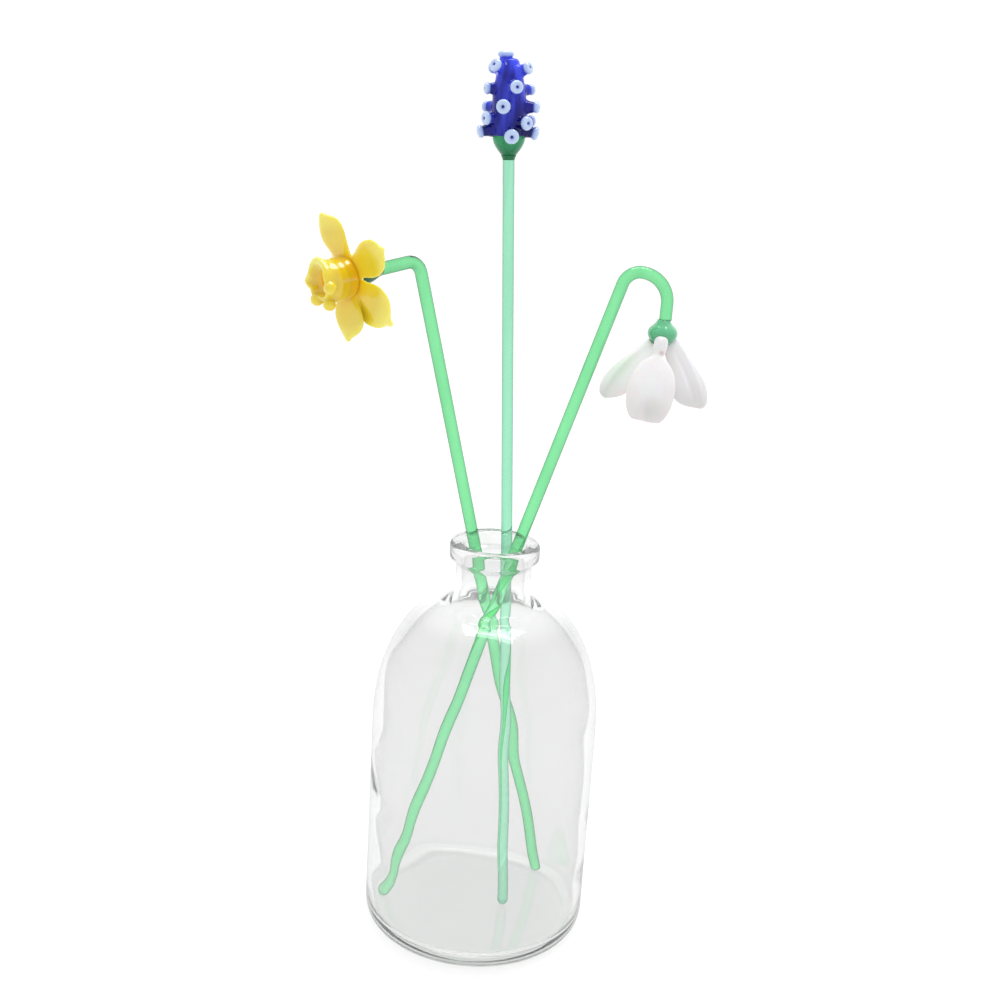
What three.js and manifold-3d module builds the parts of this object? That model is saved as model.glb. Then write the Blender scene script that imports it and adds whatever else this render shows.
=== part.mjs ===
// Three glass spring flowers standing in a glass bottle: a daffodil, a grape hyacinth and a
// snowdrop, each worked at the flame on a rod of green glass. The rods stand on the floor of the
// bottle and lean in its mouth. Millimetres, +Z up, with the origin at the centre of the bottle's
// base; -Y is the front. All the glass is solid apart from the bottle, the trumpet's mouth and the
// dimples of the florets.

import * as THREE from 'three';
import { mergeVertices } from 'three/addons/utils/BufferGeometryUtils.js';
import Module from 'manifold-3d';

const wasm = await Module();
wasm.setup();

// ---- Driving dimensions ----

const CLEARANCE = 0.3;              // between pieces that touch

const BOTTLE = {
  radius: 41, height: 149, floor: 4.2, wall: 3,
  footRadius: 36.5, heelHeight: 7,    // outer rounding at the base
  floorRadius: 33.8,                  // where the inner rounding meets the floor
  shoulderStart: 80.5, shoulderTop: 126.3, shoulderInner: 15.6,
  neckRadius: 13.5, neckStart: 134, boreRadius: 11,
  lipRadius: 16, lipHeight: 6.4, sides: 44,
};

const v = (x, y, z) => new THREE.Vector3(x, y, z);

const ROD_SIDES = 10;
const ROD_END_LIFT = 0.35;            // the round rod end above the bottle's floor
const BEND_STEPS = 9;                 // rings around each bend of a rod
const PETAL_SIDES = 12;

const DAFFODIL = {
  rod: 4.2,
  foot: v(24.6, 23.7, 0), mouth: v(-7.5, -1.1, 149), corner: v(-30.5, -17.3, 248.9),
  bendRadius: 4.2,
  aim: v(-0.668, -0.736, -0.11).normalize(),      // where the trumpet points
  petalUp: v(-0.372, 0.203, 0.906),               // roughly the direction of the first petal
  stemEnd: 15.7, petalPlane: 29.7,                // along the aim, from the corner of the rod
  calyxRadius: 4.3, hubRadius: 5.6, hubThickness: 2.4,
  petalThickness: 1.7,
  petals: [                                       // turn from the first petal, forward cup
    { turn: 2, cup: 6, length: 20.5 }, { turn: 84, cup: 2, length: 20.5 },
    { turn: 144, cup: 0, length: 23 }, { turn: 195, cup: 10, length: 20.3 },
    { turn: 246, cup: -22, length: 20.5 }, { turn: 311, cup: -26, length: 19.5 },
  ],
  trumpetRadius: 6.7, trumpetLength: 10.7, trumpetRibs: 6, ribDepth: 0.35,
  throatRadius: 3.7, throatDepth: 7, lobeRadius: 2.2, lobeRing: 6.3,
  lobes: [28, 112, 170, 217, 288, 338],           // turns of the round lobes at the mouth
  trumpetSides: 24,
};

const MUSCARI = {
  rod: 3.95,
  foot: v(11.2, -1.6, 0), mouth: v(3.95, 5.28, 149), top: v(-3.6, 11.8, 280.2),
  headAim: v(-0.05, 0.04, 1).normalize(),
  cupHeight: 7.4,                                 // the green cup below the blue
  capShift: 1.3,                                  // of the cap on top, to the left
  stubRadius: 1.9, stubReach: 2.2, ringRadius: 2.35, ringLength: 2.1, dimple: 0.7, sides: 9,
  // Height above the cup's foot, upward tilt in degrees, and turns from the front
  rows: [
    { height: 28.6, tilt: 20, turns: [-43, 75, 168, -128] },
    { height: 22.6, tilt: 2, turns: [-80, 18, 112, -158] },
    { height: 17.0, tilt: 0, turns: [-112, -12, 80, 158] },
    { height: 12.4, tilt: 0, turns: [-62, 47, 122, -160] },
    { height: 8.2, tilt: -16, turns: [-84, 88, 150, -138] },
    { height: 7.2, tilt: -16, turns: [7] },
  ],
};

const SNOWDROP = {
  rod: 4.2,
  foot: v(-34.1, 0, 0), mouth: v(7.84, -3.07, 149),
  hookLeft: v(38.3, -5, 249.1), hookRight: v(52.8, -5, 245), end: v(51.75, -5, 232.6),
  leftRadius: 4.8, rightRadius: 8.5,
  ovary: v(51.38, -5, 228.0), ovaryRadius: 5.05, ovaryHalfHeight: 4.0, collarTop: 4.25,
  petalThickness: 1.9, petalCup: 2.2, petalArch: 2.2,
  petals: {                                       // spread of each petal from its claw to its tip
    front: { claw: v(50.9, -10.2, 227.8), tip: v(46.4, -22.4, 201.9), face: v(-0.1, -1, 0.35) },
    left: { claw: v(47.2, -3.6, 225.2), tip: v(33.2, -3.8, 206.0), face: v(-0.75, -0.45, 0.7) },
    right: { claw: v(55.6, -3.6, 225.8), tip: v(66.6, -4.6, 203.4), face: v(0.85, -0.8, 0.35) },
  },
  // Outlines from claw to tip: share of the length, half width
  frontOutline: [
    [0, 0], [0.03, 1.9], [0.1, 2.1], [0.17, 1.7], [0.26, 4.3], [0.4, 6.9], [0.58, 7.9],
    [0.76, 7.6], [0.9, 6.0], [0.97, 3.8], [1, 0],
  ],
  sideOutline: [
    [0, 0], [0.03, 1.7], [0.1, 1.9], [0.17, 1.7], [0.3, 3.0], [0.45, 4.8], [0.62, 6.4],
    [0.78, 6.9], [0.9, 6.0], [0.97, 3.8], [1, 0],
  ],
};

// ---- Materials ----

const glass = (color, roughness = 0.08) =>
  new THREE.MeshStandardMaterial({ color, roughness, metalness: 0 });
const clearGlass = new THREE.MeshStandardMaterial({
  color: 0xe8eeea, roughness: 0.03, metalness: 0, transparent: true, opacity: 0.3,
});
const springGreen = glass(0x8ae6a0, 0.05);
const aquaGreen = glass(0xa0e8c4, 0.05);
const leafGreen = glass(0x46a878);
const deepGreen = glass(0x2c7a52);
const yellow = glass(0xf2dc50);
const amberYellow = glass(0xf0c83c);
const cobalt = glass(0x2c30b8);
const milkWhite = glass(0xf0f0ee, 0.2);

// ---- Helpers ----

const rad = THREE.MathUtils.degToRad;

// A closed geometry as a solid: shared vertices merged, slivers at the poles left out
function solid(geometry) {
  const bare = geometry.clone();
  for (const name of ['normal', 'uv']) bare.deleteAttribute(name);
  const merged = mergeVertices(bare, 1e-4);
  const index = merged.index.array;
  const triVerts = [];
  for (let i = 0; i < index.length; i += 3) {
    const [a, b, c] = [index[i], index[i + 1], index[i + 2]];
    if (a !== b && b !== c && c !== a) triVerts.push(a, b, c);
  }
  return new wasm.Manifold(new wasm.Mesh({
    numProp: 3,
    vertProperties: Float32Array.from(merged.attributes.position.array),
    triVerts: Uint32Array.from(triVerts),
  }));
}

function toGeometry(shape) {
  const mesh = shape.getMesh();
  const geometry = new THREE.BufferGeometry();
  geometry.setAttribute('position', new THREE.BufferAttribute(mesh.vertProperties, 3));
  geometry.setIndex(new THREE.BufferAttribute(mesh.triVerts, 1));
  geometry.computeVertexNormals();
  return geometry;
}

const union = (shapes) => shapes.reduce((whole, next) => whole.add(next));

// A turned piece: its outline runs up the outside, as [radius, height] pairs, about +Z
function turned(outline, sides) {
  const points = outline.map(([r, z]) => new THREE.Vector2(Math.max(r, 0), z));
  return new THREE.LatheGeometry(points, sides).rotateX(Math.PI / 2);
}

// Quarter of an ellipse about (r, z), from angle `from` to `to` in degrees
function arc(r, z, a, b, from, to, steps) {
  return Array.from({ length: steps + 1 }, (_, i) => {
    const angle = rad(from + (to - from) * i / steps);
    return [r + a * Math.cos(angle), z + b * Math.sin(angle)];
  });
}

// The frame whose Z is `aim` and whose Y is as near `up` as it can be, placed at `at`
function frame(at, aim, up) {
  const x = new THREE.Vector3().crossVectors(up, aim).normalize();
  const y = new THREE.Vector3().crossVectors(aim, x);
  return new THREE.Matrix4().makeBasis(x, y, aim).setPosition(at);
}

// A rod's centre line, with a ring of the rod at each listed point
class RodLine extends THREE.Curve {
  constructor(points) {
    super();
    this.points = points;
  }

  getPoint(t, target = new THREE.Vector3()) {
    const last = this.points.length - 1;
    const at = Math.min(Math.max(t, 0), 1) * last;
    const i = Math.min(Math.floor(at), last - 1);
    return target.lerpVectors(this.points[i], this.points[i + 1], at - i);
  }

  getUtoTmapping(u) {
    return u;
  }
}

// Points around the corner at b between a and c, on an arc of the given radius
function bend(a, b, c, radius) {
  const back = a.clone().sub(b).normalize();
  const on = c.clone().sub(b).normalize();
  const half = back.angleTo(on) / 2;
  const middle = back.clone().add(on).normalize();
  const centre = b.clone().addScaledVector(middle, radius / Math.sin(half));
  const start = b.clone().addScaledVector(back, radius / Math.tan(half)).sub(centre);
  const axis = new THREE.Vector3().crossVectors(on, back).normalize();
  return Array.from({ length: BEND_STEPS + 1 }, (_, i) =>
    start.clone().applyAxisAngle(axis, (Math.PI - 2 * half) * i / BEND_STEPS).add(centre));
}

// A glass rod along its points, its foot melted round
function rod(diameter, points) {
  const section = new THREE.Shape(
    Array.from({ length: ROD_SIDES }, (_, i) => {
      const angle = 2 * Math.PI * i / ROD_SIDES;
      return new THREE.Vector2(Math.cos(angle), Math.sin(angle)).multiplyScalar(diameter / 2);
    }),
  );
  const tube = new THREE.ExtrudeGeometry(section, {
    extrudePath: new RodLine(points), steps: points.length - 1,
  });
  const end = new THREE.SphereGeometry(diameter / 2, ROD_SIDES, 6).rotateX(Math.PI / 2);
  return solid(tube).add(solid(end.translate(...points[0].toArray())));
}

// Height of the centre of a rod's round foot, and that foot's point on the line to the mouth
function footOf(flower) {
  const foot = flower.foot.clone();
  foot.z = BOTTLE.floor + ROD_END_LIFT + flower.rod / 2;
  return foot;
}

// A petal: a ball pressed flat and drawn out. `outline` gives, from claw to tip, the distance as
// a share of `length` and the half width; the petal lies along +Y with its face to +Z, arches by
// `arch` in the middle and bends its edges back by `cup`. `grown` widens it all round.
function petal({ outline, length, thickness, arch, cup, grown = 0, rings = 10 }) {
  const spline = new THREE.SplineCurve(outline.map(([s, w]) => new THREE.Vector2(s, w)));
  const widest = Math.max(...outline.map(([, w]) => w));
  const ball = new THREE.SphereGeometry(1, PETAL_SIDES, rings);
  const place = ball.attributes.position;
  for (let i = 0; i < place.count; i += 1) {
    const down = Math.acos(THREE.MathUtils.clamp(place.getY(i), -1, 1)) / Math.PI;
    const girth = Math.hypot(place.getX(i), place.getZ(i));
    const across = girth > 1e-6 ? -place.getX(i) / girth : 0;
    const through = girth > 1e-6 ? place.getZ(i) / girth : 0;
    const at = spline.getPoint(down);
    const width = girth > 1e-6 ? Math.max(at.y, 0.15) + grown : 0;
    const thick = Math.min(width, thickness / 2 + grown);
    const side = width * across;
    const lift = arch * Math.sin(Math.PI * at.x) - cup * (side / widest) ** 2;
    place.setXYZ(i, side, at.x * length, lift + thick * through);
  }
  return ball;
}

function node(name, shape, material) {
  const mesh = new THREE.Mesh(toGeometry(shape), material);
  mesh.name = name;
  return mesh;
}

// ---- Bottle ----

function bottle() {
  const b = BOTTLE;
  const inner = b.radius - b.wall;
  const shoulderWide = b.radius - b.shoulderInner;
  const shoulderHigh = b.shoulderTop - b.shoulderStart;
  const outside = [
    [0, 0],
    ...arc(b.footRadius, b.heelHeight, b.radius - b.footRadius, b.heelHeight, -90, 0, 4),
    ...arc(b.shoulderInner, b.shoulderStart, shoulderWide, shoulderHigh, 0, 78, 9),
    [b.neckRadius + 1.6, b.shoulderTop + 1.2],
    [b.neckRadius + 0.4, b.shoulderTop + 3.6],
    [b.neckRadius, b.neckStart],
  ];
  const lipMiddle = b.height - b.lipHeight / 2;
  const lipWide = b.lipRadius - b.neckRadius;
  const lip = arc(b.neckRadius, lipMiddle, lipWide, b.lipHeight / 2, -90, 90, 6);
  const shoulderInside = arc(
    b.shoulderInner - b.wall, b.shoulderStart, shoulderWide, shoulderHigh - b.wall, 78, 0, 9,
  );
  const cornerWide = inner - b.floorRadius;
  const inside = [
    [b.boreRadius + 0.9, b.height],
    [b.boreRadius, b.height - 1.4],
    [b.boreRadius, b.neckStart - 1],
    [b.boreRadius + 0.5, b.shoulderTop + 1.5],
    ...shoulderInside,
    ...arc(b.floorRadius, b.floor + cornerWide, cornerWide, cornerWide, 0, -90, 3),
    [0, b.floor],
  ];
  return solid(turned([...outside, ...lip, ...inside], b.sides));
}

// ---- Daffodil ----

const daffodilAt = (distance) =>
  DAFFODIL.corner.clone().addScaledVector(DAFFODIL.aim, distance);

function daffodilStem() {
  const d = DAFFODIL;
  const end = daffodilAt(d.stemEnd);
  return rod(d.rod, [footOf(d), d.mouth, ...bend(d.mouth, d.corner, end, d.bendRadius), end]);
}

function daffodilCalyx() {
  const d = DAFFODIL;
  const length = d.petalPlane - d.stemEnd - d.hubThickness / 2 - 2 * CLEARANCE;
  const cup = turned([
    [0, 0], [d.rod / 2 + 0.2, 0], [d.calyxRadius * 0.8, 1.6], [d.calyxRadius, 3.4],
    [d.calyxRadius * 0.9, length], [0, length],
  ], 14);
  return solid(cup.applyMatrix4(frame(daffodilAt(d.stemEnd + CLEARANCE), d.aim, d.petalUp)))
    .subtract(daffodilPetals(CLEARANCE));
}

// The six petals on their hub; `grown` widens them all round
function daffodilPetals(grown = 0) {
  const d = DAFFODIL;
  const radius = d.hubRadius + grown;
  const half = d.hubThickness / 2 + grown;
  const hub = turned([
    [0, -half], [radius * 0.8, -half], [radius, 0], [radius * 0.8, half], [0, half],
  ], 14);
  const outline = [
    [0.06, 0], [0.09, 2.8], [0.26, 4.2], [0.46, 5.8], [0.64, 6.0], [0.82, 4.1], [0.93, 1.5],
    [0.98, 1.1], [1, 0],
  ];
  const petals = d.petals.map(({ turn, cup, length }) => solid(
    petal({
      outline, length, thickness: d.petalThickness, cup: -0.8, arch: -0.6, grown,
    })
      .rotateX(rad(cup))
      .rotateZ(rad(-turn)),
  ));
  const flower = frame(daffodilAt(d.petalPlane), d.aim, d.petalUp);
  return union([solid(hub), ...petals]).transform(flower.elements);
}

function daffodilTrumpet() {
  const d = DAFFODIL;
  const foot = d.hubThickness / 2;
  const top = foot + d.trumpetLength;
  const ribs = Array.from({ length: 2 * d.trumpetRibs + 1 }, (_, i) => [
    d.trumpetRadius + (i % 2 ? d.ribDepth : -d.ribDepth),
    foot + 1.2 + (d.trumpetLength - 2.4) * i / (2 * d.trumpetRibs),
  ]);
  const cup = turned([
    [0, foot], [d.trumpetRadius - 2.2, foot], ...ribs,
    [d.trumpetRadius + 0.2, top - 0.5], [d.trumpetRadius - 0.6, top],
    [d.throatRadius + 1, top - 0.4], [d.throatRadius, top - 2],
    [d.throatRadius * 0.7, top - d.throatDepth], [0, top - d.throatDepth],
  ], d.trumpetSides);
  const lobes = d.lobes.map((turn) => solid(
    new THREE.SphereGeometry(d.lobeRadius, 8, 6).scale(1, 1, 0.85)
      .translate(d.lobeRing * Math.sin(rad(turn)), d.lobeRing * Math.cos(rad(turn)), top - 0.6),
  ));
  const flower = frame(daffodilAt(d.petalPlane), d.aim, d.petalUp);
  return union([solid(cup), ...lobes]).transform(flower.elements)
    .subtract(daffodilPetals(CLEARANCE));
}

// ---- Grape hyacinth ----

const headFrame = () => frame(MUSCARI.top, MUSCARI.headAim, v(0, 1, 0));

function muscariStem() {
  const m = MUSCARI;
  const end = m.top.clone().addScaledVector(m.headAim, -CLEARANCE);
  return rod(m.rod, [footOf(m), m.mouth, end]);
}

// The cup below the head; `grown` widens it all round
function muscariCup(grown = 0) {
  const m = MUSCARI;
  const top = m.cupHeight + grown;
  const cup = turned([
    [0, -grown], ...[[m.rod / 2 + 0.15, -grown], [m.rod / 2 + 0.4, 1.2], [3.9, 2.8],
      [5.1, 5.0], [5.35, top]].map(([r, z]) => [r + grown, z]), [0, top],
  ], 18);
  return solid(cup.applyMatrix4(headFrame()));
}

// The blue body's outline: radius, and height above the cup's foot
const BODY = [[5.35, 7.7], [5.8, 13], [5.7, 20], [4.8, 25], [4.1, 28.5], [2.9, 31.2]];

function bodyRadius(height) {
  const next = Math.max(1, BODY.findIndex(([, z]) => z >= height));
  const [[r0, z0], [r1, z1]] = [BODY[next - 1], BODY[next]];
  return THREE.MathUtils.mapLinear(height, z0, z1, r0, r1);
}

// One floret: a stub with a thick ring at its mouth, standing along +Z
function floret() {
  const m = MUSCARI;
  const ringAt = m.stubReach;
  const mouth = ringAt + m.ringLength;
  return turned([
    [0, -3], [m.stubRadius, -3], [m.stubRadius, ringAt], [m.ringRadius, ringAt + 0.7],
    [m.ringRadius, mouth - 0.6], [m.ringRadius - 0.8, mouth], [0.6, mouth - 0.1],
    [0, mouth - m.dimple],
  ], m.sides);
}

function muscariHead() {
  const m = MUSCARI;
  const base = m.cupHeight + CLEARANCE;
  const core = turned([[0, base], ...BODY, [2.2, 32.2], [0, 32.2]], 18);
  const cap = turned([
    [0, 31.4], [2.0, 31.4], [2.1, 32.2], [2.6, 33.0], [2.6, 33.8], [1.9, 34.4], [0, 34.5],
  ], 14).translate(-m.capShift, 0, 0);
  const florets = m.rows.flatMap(({ height, tilt, turns }) => turns.map((turn) => {
    const outward = v(0, -1, 0).applyAxisAngle(v(1, 0, 0), -rad(tilt))
      .applyAxisAngle(v(0, 0, 1), rad(turn));
    const root = v(0, -1, 0).applyAxisAngle(v(0, 0, 1), rad(turn))
      .multiplyScalar(bodyRadius(height) - 0.4).setZ(height);
    return solid(floret().applyMatrix4(frame(root, outward, v(0, 0, 1))));
  }));
  return union([solid(core), solid(cap), ...florets]).transform(headFrame().elements)
    .subtract(muscariCup(CLEARANCE));
}

// ---- Snowdrop ----

function snowdropStem() {
  const s = SNOWDROP;
  return rod(s.rod, [
    footOf(s), s.mouth,
    ...bend(s.mouth, s.hookLeft, s.hookRight, s.leftRadius),
    ...bend(s.hookLeft, s.hookRight, s.end, s.rightRadius),
    s.end,
  ]);
}

// The ovary, a flattened ball with a short collar under the stem; `grown` widens it all round
function snowdropOvary(grown = 0) {
  const s = SNOWDROP;
  const wide = s.ovaryRadius + grown;
  const reach = s.ovaryHalfHeight + grown;
  const collar = s.rod / 2 + 0.2;
  const ball = turned([
    ...arc(0, 0, wide, reach, -90, 60, 9), [collar, s.collarTop - 0.4],
    [collar, s.collarTop], [0, s.collarTop],
  ], 20);
  const hangs = s.hookRight.clone().sub(s.end).normalize();
  return solid(ball.applyMatrix4(frame(s.ovary, hangs, v(0, 1, 0))));
}

function snowdropPetal({ claw, tip, face }, outline) {
  const s = SNOWDROP;
  const along = tip.clone().sub(claw);
  const length = along.length();
  along.normalize();
  const side = new THREE.Vector3().crossVectors(along, face).normalize();
  const normal = new THREE.Vector3().crossVectors(side, along);
  const blade = petal({
    outline, length, thickness: s.petalThickness, arch: s.petalArch, cup: s.petalCup, rings: 14,
  });
  blade.applyMatrix4(new THREE.Matrix4().makeBasis(side, along, normal).setPosition(claw));
  return solid(blade).subtract(snowdropOvary(CLEARANCE));
}

// ---- Assembly ----

const group = new THREE.Group();
group.add(
  node('bottle', bottle(), clearGlass),
  node('daffodil_stem', daffodilStem(), springGreen),
  node('daffodil_calyx', daffodilCalyx(), deepGreen),
  node('daffodil_petals', daffodilPetals(), yellow),
  node('daffodil_trumpet', daffodilTrumpet(), amberYellow),
  node('muscari_stem', muscariStem(), aquaGreen),
  node('muscari_cup', muscariCup(), leafGreen),
  node('muscari_head', muscariHead(), cobalt),
  node('snowdrop_stem', snowdropStem(), springGreen),
  node('snowdrop_ovary', snowdropOvary(), leafGreen),
);
for (const [name, spread] of Object.entries(SNOWDROP.petals)) {
  const outline = name === 'front' ? SNOWDROP.frontOutline : SNOWDROP.sideOutline;
  group.add(node(`snowdrop_petal_${name}`, snowdropPetal(spread, outline), milkWhite));
}

export default group;
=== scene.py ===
"""Three spring flowers of flame-worked glass, standing in a clear glass bottle.

A daffodil, a grape hyacinth and a snowdrop, each on a rod of green glass that stands on the
bottle's floor and leans in its mouth. Sizes are in millimetres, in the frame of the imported
solids: the origin is at the centre of the bottle's base, +Z is up and -Y is the front.
"""

import math

import bpy
from mathutils import Matrix, Vector


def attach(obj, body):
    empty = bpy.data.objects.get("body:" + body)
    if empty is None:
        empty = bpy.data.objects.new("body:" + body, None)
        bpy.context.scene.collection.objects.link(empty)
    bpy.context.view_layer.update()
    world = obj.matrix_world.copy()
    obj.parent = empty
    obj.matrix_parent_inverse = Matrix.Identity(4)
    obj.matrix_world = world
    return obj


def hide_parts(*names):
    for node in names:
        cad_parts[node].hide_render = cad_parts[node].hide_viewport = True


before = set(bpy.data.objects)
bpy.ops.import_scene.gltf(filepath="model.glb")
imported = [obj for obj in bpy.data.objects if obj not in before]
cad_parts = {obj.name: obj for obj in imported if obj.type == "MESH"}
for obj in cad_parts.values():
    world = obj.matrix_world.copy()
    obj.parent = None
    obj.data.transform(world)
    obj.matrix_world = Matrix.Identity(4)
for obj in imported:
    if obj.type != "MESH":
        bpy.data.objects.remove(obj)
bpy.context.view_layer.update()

MM = 0.001
UP = Vector((0, 0, 1))


def v(x, y, z):
    return Vector((x, y, z))


# ---- Sizes of the object, in millimetres ----

BOTTLE_RADIUS, BOTTLE_HEIGHT, BOTTLE_WALL, BOTTLE_FLOOR = 41, 149, 3, 4.2
FOOT_RADIUS, HEEL_HEIGHT, FLOOR_RADIUS = 36.5, 7, 33.8
SHOULDER_START, SHOULDER_TOP, SHOULDER_INNER = 80.5, 126.3, 15.6
NECK_RADIUS, NECK_START, BORE_RADIUS, LIP_RADIUS, LIP_HEIGHT = 13.5, 134, 11, 16, 6.4

ROD_LIFT = 0.35                       # of a rod's melted foot above the bottle's floor

DAFFODIL_ROD = 4.2
DAFFODIL_FOOT, DAFFODIL_MOUTH = v(24.6, 23.7, 0), v(-7.5, -1.1, 149)
DAFFODIL_CORNER, DAFFODIL_BEND = v(-30.3, -17.3, 249.1), 5.4
DAFFODIL_AIM = v(-0.668, -0.736, -0.11).normalized()
DAFFODIL_UP = v(-0.372, 0.203, 0.906)
STEM_END, PETAL_PLANE = 15.7, 29.7    # along the aim, from the corner of the rod
HUB = DAFFODIL_CORNER + DAFFODIL_AIM * PETAL_PLANE
TRUMPET_RADIUS, TRUMPET_LENGTH = 6.7, 11.4

MUSCARI_ROD = 3.95
MUSCARI_FOOT, MUSCARI_MOUTH = v(11.2, -1.6, 0), v(3.95, 5.28, 149)
MUSCARI_TOP = v(-3.6, 11.8, 280.2)
MUSCARI_AIM = v(-0.05, 0.04, 1).normalized()

SNOWDROP_ROD = 4.2
SNOWDROP_FOOT, SNOWDROP_MOUTH = v(-34.1, 0, 0), v(7.84, -3.07, 149)
HOOK_LEFT, HOOK_RIGHT, HOOK_END = v(38.2, -5, 248.5), v(52.1, -5, 246.55), v(51.9, -5, 232.6)
HOOK_LEFT_RADIUS, HOOK_RIGHT_RADIUS = 6.0, 9.8
OVARY = v(51.38, -5, 228)


# ---- Camera, at the height and angle of the picture ----

CAMERA_PLACE = v(0.7, -484.8, 317) * MM
CAMERA_RIGHT = v(0.998, 0.0189, 0.0601).normalized()
CAMERA_AHEAD = v(0, 0.954, -0.2999).normalized()
CAMERA_LENS = 52.2


def set_camera():
    ahead = CAMERA_AHEAD
    up = CAMERA_RIGHT.cross(ahead).normalized()
    right = ahead.cross(up)
    data = bpy.data.cameras.new("picture_camera")
    data.lens = CAMERA_LENS
    camera = bpy.data.objects.new("picture_camera", data)
    turn = Matrix((right, up, -ahead)).transposed().to_4x4()
    camera.matrix_world = Matrix.Translation(CAMERA_PLACE) @ turn
    bpy.context.scene.collection.objects.link(camera)
    bpy.context.scene.camera = camera


set_camera()


# ---- Modelling by hand ----

WELD = 0.002                          # points nearer than this, in millimetres, become one


def deselect():
    if bpy.context.object and bpy.context.object.mode != "OBJECT":
        bpy.ops.object.mode_set(mode="OBJECT")
    bpy.ops.object.select_all(action="DESELECT")


def pick(*pieces):
    """Only these pieces are selected, and the first of them is active."""
    deselect()
    for piece in pieces:
        piece.select_set(True)
    bpy.context.view_layer.objects.active = pieces[0]


def named(name):
    piece = bpy.context.object
    piece.name = piece.data.name = name
    return piece


def modify(piece, kind, **settings):
    """Adds a modifier with these settings and applies it."""
    pick(piece)
    bpy.ops.object.modifier_add(type=kind)
    modifier = piece.modifiers[-1]
    for key, value in settings.items():
        setattr(modifier, key, value)
    bpy.ops.object.modifier_apply(modifier=modifier.name)
    return piece


def smooth(piece, degrees=None):
    pick(piece)
    if degrees is None:
        bpy.ops.object.shade_smooth()
    else:
        bpy.ops.object.shade_smooth_by_angle(angle=math.radians(degrees))
    return piece


def place(piece, matrix):
    """Moves a finished shape to its place, in millimetres, leaving its object at the origin."""
    pick(piece)
    move = matrix.copy()
    move.translation = matrix.translation * MM
    piece.matrix_world = move
    bpy.context.view_layer.update()
    bpy.ops.object.transform_apply(location=True, rotation=True, scale=True)
    return piece


def standing(at, aim, up):
    """The frame whose Z is the aim and whose Y is as near up as it can be, as in the solids."""
    x = up.cross(aim).normalized()
    y = aim.cross(x)
    matrix = Matrix((x, y, aim)).transposed().to_4x4()
    matrix.translation = at
    return matrix


def arc(r, z, a, b, start, end, steps):
    """Points of an ellipse about (r, z), from one angle to another in degrees."""
    angles = [math.radians(start + (end - start) * i / steps) for i in range(steps + 1)]
    return [(r + a * math.cos(t), z + b * math.sin(t)) for t in angles]


def turned(name, outline, sides):
    """A turned piece: one vertex is drawn along its outline of (radius, height) pairs and spun."""
    deselect()
    bpy.ops.mesh.primitive_plane_add(size=MM)
    piece = named(name)
    bpy.ops.object.mode_set(mode="EDIT")
    bpy.ops.mesh.select_mode(type="VERT")
    bpy.ops.mesh.merge(type="CENTER")
    bpy.ops.transform.translate(value=(outline[0][0] * MM, 0, outline[0][1] * MM))
    for (r0, z0), (r1, z1) in zip(outline, outline[1:]):
        step = ((r1 - r0) * MM, 0, (z1 - z0) * MM)
        bpy.ops.mesh.extrude_region_move(TRANSFORM_OT_translate={"value": step})
    bpy.ops.mesh.select_all(action="SELECT")
    bpy.ops.mesh.spin(steps=sides, angle=2 * math.pi, center=(0, 0, 0), axis=(0, 0, 1))
    bpy.ops.mesh.select_all(action="SELECT")
    bpy.ops.mesh.remove_doubles(threshold=WELD * MM)
    bpy.ops.mesh.normals_make_consistent(inside=False)
    deselect()
    return smooth(piece)


def around(a, b, c, radius, steps=14):
    """Points around the corner at b between a and c, on an arc of this radius."""
    back, on = (a - b).normalized(), (c - b).normalized()
    half = back.angle(on) / 2
    centre = b + (back + on).normalized() * radius / math.sin(half)
    start = b + back * radius / math.tan(half) - centre
    axis = on.cross(back).normalized()
    turn = math.pi - 2 * half
    return [centre + Matrix.Rotation(turn * i / steps, 3, axis) @ start for i in range(steps + 1)]


def foot_of(point, diameter):
    return v(point.x, point.y, BOTTLE_FLOOR + ROD_LIFT + diameter / 2)


def rod(name, diameter, points):
    """A glass rod drawn along its points; its foot, around the first of them, is melted round."""
    foot, way = points[0], (points[1] - points[0]).normalized()
    melt = [math.radians(90 * i / 7) for i in range(1, 8)]
    knots = [(foot - way * diameter / 2 * math.cos(t), math.sin(t)) for t in melt]
    knots += [(point, 1.0) for point in points[1:]]
    deselect()
    bpy.ops.curve.primitive_nurbs_path_add()
    piece = named(name)
    curve = piece.data
    curve.splines.clear()
    spline = curve.splines.new("POLY")
    spline.points.add(len(knots) - 1)
    for knot, (point, radius) in zip(spline.points, knots):
        knot.co = (*(point * MM), 1)
        knot.radius = radius
    curve.dimensions = "3D"
    curve.bevel_depth = diameter / 2 * MM
    curve.bevel_resolution = 8
    curve.use_fill_caps = True
    pick(piece)
    bpy.ops.object.convert(target="MESH")
    bpy.ops.object.mode_set(mode="EDIT")
    bpy.ops.mesh.select_all(action="SELECT")
    bpy.ops.mesh.remove_doubles(threshold=WELD * MM)
    bpy.ops.mesh.normals_make_consistent(inside=False)
    deselect()
    return smooth(piece, 40)


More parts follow.
